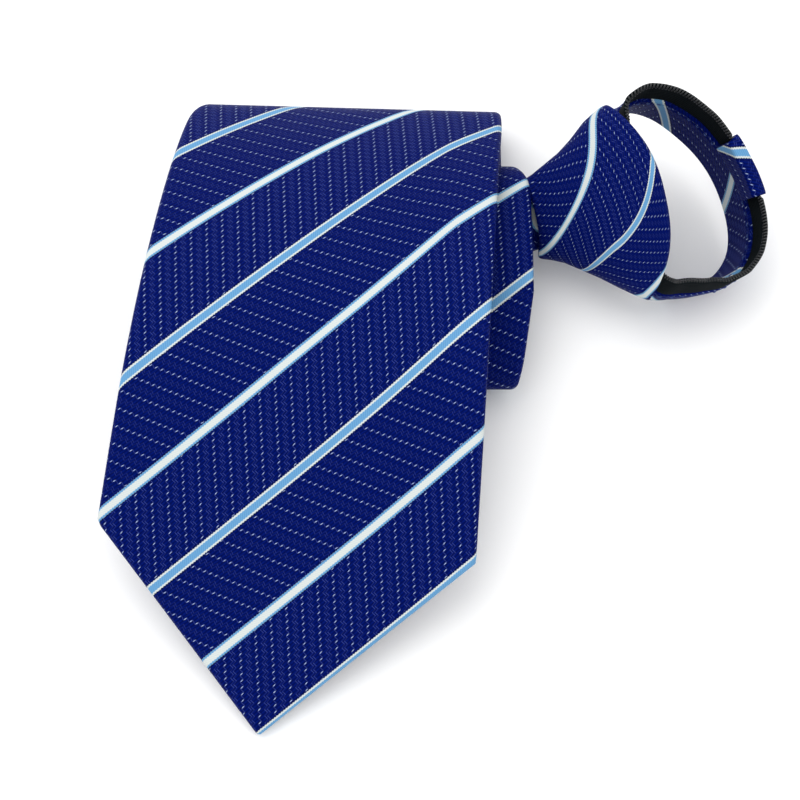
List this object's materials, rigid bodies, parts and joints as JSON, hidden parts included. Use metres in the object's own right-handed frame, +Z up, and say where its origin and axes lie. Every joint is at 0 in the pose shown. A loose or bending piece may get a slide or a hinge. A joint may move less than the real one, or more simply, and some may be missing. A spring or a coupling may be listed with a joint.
{
  "type": "zipper tie",
  "caption": "Ready-tied necktie lying face up: wide pointed blade folded over its own roll, hollow fixed knot and a small standing neck loop with a zipper along its edge.",
  "frame": {"origin": "on the surface that the tie lies on, under the middle of its box", "axes": "+Z up; the blade points to -Y; the neck loop is at +X"},
  "size_m": [0.1448, 0.1444, 0.0374],
  "materials": {
    "silk": "navy woven cloth with a soft sheen and slanting light blue and white stripes",
    "zipper_tape": "matte black woven tape",
    "zipper_teeth": "shiny black nylon coil"
  },
  "bodies": {
    "root": {"blade": "silk", "knot": "silk", "neck_band": "silk", "keeper": "silk", "zipper_tape_right": "zipper_tape", "zipper_tape_left": "zipper_tape", "zipper_teeth_right": "zipper_teeth", "zipper_teeth_left": "zipper_teeth", "zipper_slider": "zipper_teeth"}
  },
  "joints": []
}
